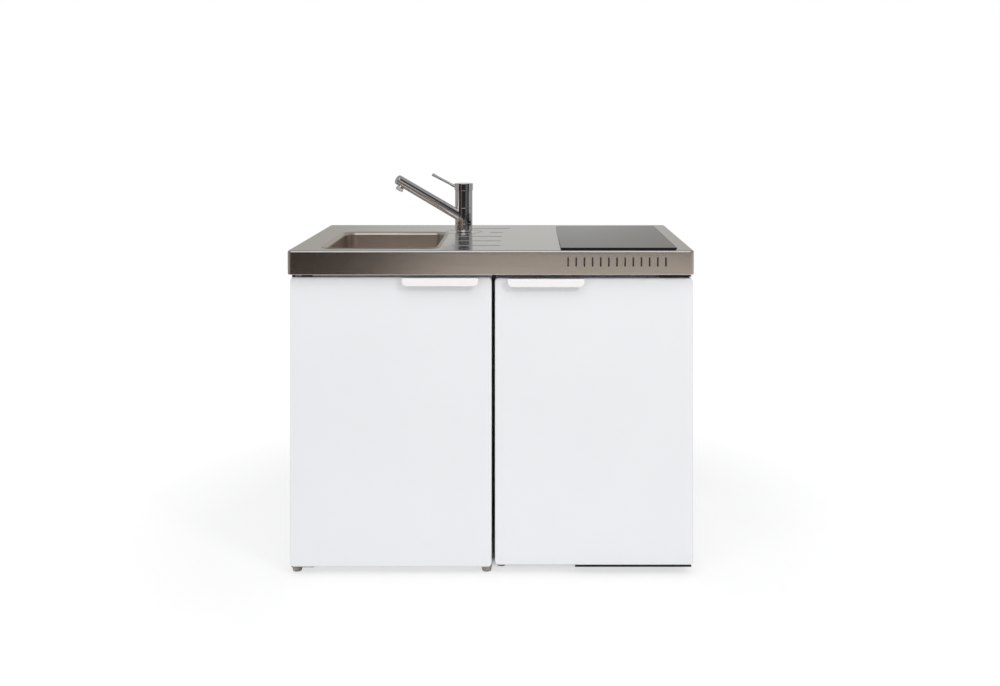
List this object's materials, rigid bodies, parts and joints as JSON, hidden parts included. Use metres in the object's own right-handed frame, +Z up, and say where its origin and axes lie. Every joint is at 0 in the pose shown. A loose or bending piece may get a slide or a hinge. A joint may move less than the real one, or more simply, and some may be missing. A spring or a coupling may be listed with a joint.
{
  "type": "kitchenette unit with sink and hob",
  "caption": "Compact kitchenette: pressed steel worktop with sink, drainer, mixer tap and glass hob on a white cupboard and a white fridge with hinged doors.",
  "frame": {"origin": "on the floor under the middle of the overall box", "axes": "+X to the right along the worktop, +Y to the wall behind, +Z up"},
  "size_m": [1, 0.6, 0.9706],
  "materials": {
    "worktop_steel": "brushed stainless",
    "bowl_steel": "satin stainless",
    "drain_plastic": "white polypropylene",
    "hob_glass": "opaque black ceramic glass, polished",
    "hob_seal": "black foam seal",
    "hob_tray": "zinc plated sheet",
    "heater_felt": "pressed ceramic fibre",
    "tap_chrome": "polished chrome",
    "tap_brass": "plain machined",
    "white_enamel": "white powder coat, satin",
    "handle_plastic": "white moulded",
    "foot_plastic": "grey moulded",
    "foam": "pale cut foam",
    "liner_plastic": "white polystyrene, satin",
    "shelf_glass": "clear float glass",
    "clear_plastic": "clear moulded",
    "gasket_rubber": "dark magnetic seal",
    "black_enamel": "black stoved enamel"
  },
  "bodies": {
    "unit": {"worktop": "worktop_steel", "sink_bowl": "bowl_steel", "waste_body": "bowl_steel", "trap_body": "drain_plastic", "trap_cup": "drain_plastic", "waste_outlet_pipe": "drain_plastic", "hob_glass": "hob_glass", "hob_gasket": "hob_seal", "hob_casing": "hob_tray", "hob_heater_front": "heater_felt", "hob_heater_rear": "heater_felt", "tap_base_ring": "tap_chrome", "tap_body": "tap_chrome", "tap_backnut": "tap_brass", "cabinet_side_left": "white_enamel", "cabinet_side_right": "white_enamel", "cabinet_floor": "white_enamel", "cabinet_back": "white_enamel", "cabinet_rail": "white_enamel", "cabinet_shelf": "white_enamel", "fridge_case": "white_enamel", "door_catch": "handle_plastic", "fridge_insulation": "foam", "fridge_liner": "liner_plastic", "freezer_box": "liner_plastic", "thermostat_housing": "liner_plastic", "fridge_shelf": "shelf_glass", "crisper_cover": "shelf_glass", "crisper": "clear_plastic", "compressor": "black_enamel", "condenser": "black_enamel", "left_hinge_top": "black_enamel", "left_hinge_bottom": "black_enamel", "fridge_hinge_top": "black_enamel", "fridge_hinge_bottom": "black_enamel"},
    "left_door": {"left_door": "white_enamel", "left_door_inner": "white_enamel", "left_handle": "handle_plastic"},
    "fridge_door": {"fridge_door": "white_enamel", "fridge_door_liner": "liner_plastic", "fridge_gasket": "gasket_rubber", "fridge_handle": "handle_plastic", "door_bin_lower": "clear_plastic", "door_bin_upper": "clear_plastic"},
    "spout": {"tap_spout": "tap_chrome", "tap_aerator": "tap_chrome"},
    "tap_spindle": {"tap_cartridge": "tap_brass"},
    "tap_lever_head": {"tap_cap": "tap_chrome", "tap_lever": "tap_chrome"},
    "strainer": {"strainer_basket": "bowl_steel"},
    "freezer_flap": {"freezer_flap": "liner_plastic"},
    "thermostat_knob": {"thermostat_knob": "handle_plastic"},
    "cabinet_foot_front_left": {"cabinet_foot_front_left": "foot_plastic"},
    "cabinet_foot_front_right": {"cabinet_foot_front_right": "foot_plastic"},
    "cabinet_foot_rear_left": {"cabinet_foot_rear_left": "foot_plastic"},
    "cabinet_foot_rear_right": {"cabinet_foot_rear_right": "foot_plastic"},
    "fridge_foot_front_left": {"fridge_foot_front_left": "foot_plastic"},
    "fridge_foot_front_right": {"fridge_foot_front_right": "foot_plastic"},
    "fridge_foot_rear_left": {"fridge_foot_rear_left": "foot_plastic"},
    "fridge_foot_rear_right": {"fridge_foot_rear_right": "foot_plastic"}
  },
  "joints": [
    {"name": "left_door_hinge", "type": "hinge", "parent": "unit", "child": "left_door", "pos_m": [-0.489, -0.271, 0.38], "axis": [0, 0, -1], "range_deg": [0, 110]},
    {"name": "fridge_door_hinge", "type": "hinge", "parent": "unit", "child": "fridge_door", "pos_m": [0.488, -0.265, 0.38], "axis": [0, 0, 1], "range_deg": [0, 115]},
    {"name": "spout_swivel", "type": "hinge", "parent": "unit", "child": "spout", "pos_m": [-0.09, 0.114, 0.85], "axis": [0, 0, 1], "range_deg": [-90, 90]},
    {"name": "tap_turn", "type": "hinge", "parent": "unit", "child": "tap_spindle", "pos_m": [-0.09, 0.114, 0.92], "axis": [0, 0, 1], "range_deg": [-50, 50]},
    {"name": "tap_lift", "type": "hinge", "parent": "tap_spindle", "child": "tap_lever_head", "pos_m": [-0.09, 0.114, 0.917], "axis": [0, 1, 0], "range_deg": [0, 20]},
    {"name": "strainer_lift", "type": "slide", "parent": "unit", "child": "strainer", "axis": [0, 0, 1], "range_m": [0, 0.06]},
    {"name": "freezer_flap_hinge", "type": "hinge", "parent": "unit", "child": "freezer_flap", "pos_m": [0.255, -0.087, 0.683], "axis": [-1, 0, 0], "range_deg": [0, 90]},
    {"name": "thermostat_turn", "type": "hinge", "parent": "unit", "child": "thermostat_knob", "pos_m": [0.43, -0.008, 0.549], "axis": [-1, 0, 0], "range_deg": [0, 270]},
    {"name": "cabinet_foot_front_left_screw", "type": "hinge", "parent": "unit", "child": "cabinet_foot_front_left", "pos_m": [-0.4846, -0.249, 0.01], "axis": [0, 0, 1], "continuous": true},
    {"name": "cabinet_foot_front_right_screw", "type": "hinge", "parent": "unit", "child": "cabinet_foot_front_right", "pos_m": [-0.0114, -0.249, 0.01], "axis": [0, 0, 1], "continuous": true},
    {"name": "cabinet_foot_rear_left_screw", "type": "hinge", "parent": "unit", "child": "cabinet_foot_rear_left", "pos_m": [-0.4846, 0.265, 0.01], "axis": [0, 0, 1], "continuous": true},
    {"name": "cabinet_foot_rear_right_screw", "type": "hinge", "parent": "unit", "child": "cabinet_foot_rear_right", "pos_m": [-0.0114, 0.265, 0.01], "axis": [0, 0, 1], "continuous": true},
    {"name": "fridge_foot_front_left_screw", "type": "hinge", "parent": "unit", "child": "fridge_foot_front_left", "pos_m": [0.0244, -0.216, 0.01], "axis": [0, 0, 1], "continuous": true},
    {"name": "fridge_foot_front_right_screw", "type": "hinge", "parent": "unit", "child": "fridge_foot_front_right", "pos_m": [0.4856, -0.216, 0.01], "axis": [0, 0, 1], "continuous": true},
    {"name": "fridge_foot_rear_left_screw", "type": "hinge", "parent": "unit", "child": "fridge_foot_rear_left", "pos_m": [0.0244, 0.245, 0.01], "axis": [0, 0, 1], "continuous": true},
    {"name": "fridge_foot_rear_right_screw", "type": "hinge", "parent": "unit", "child": "fridge_foot_rear_right", "pos_m": [0.4856, 0.245, 0.01], "axis": [0, 0, 1], "continuous": true}
  ]
}
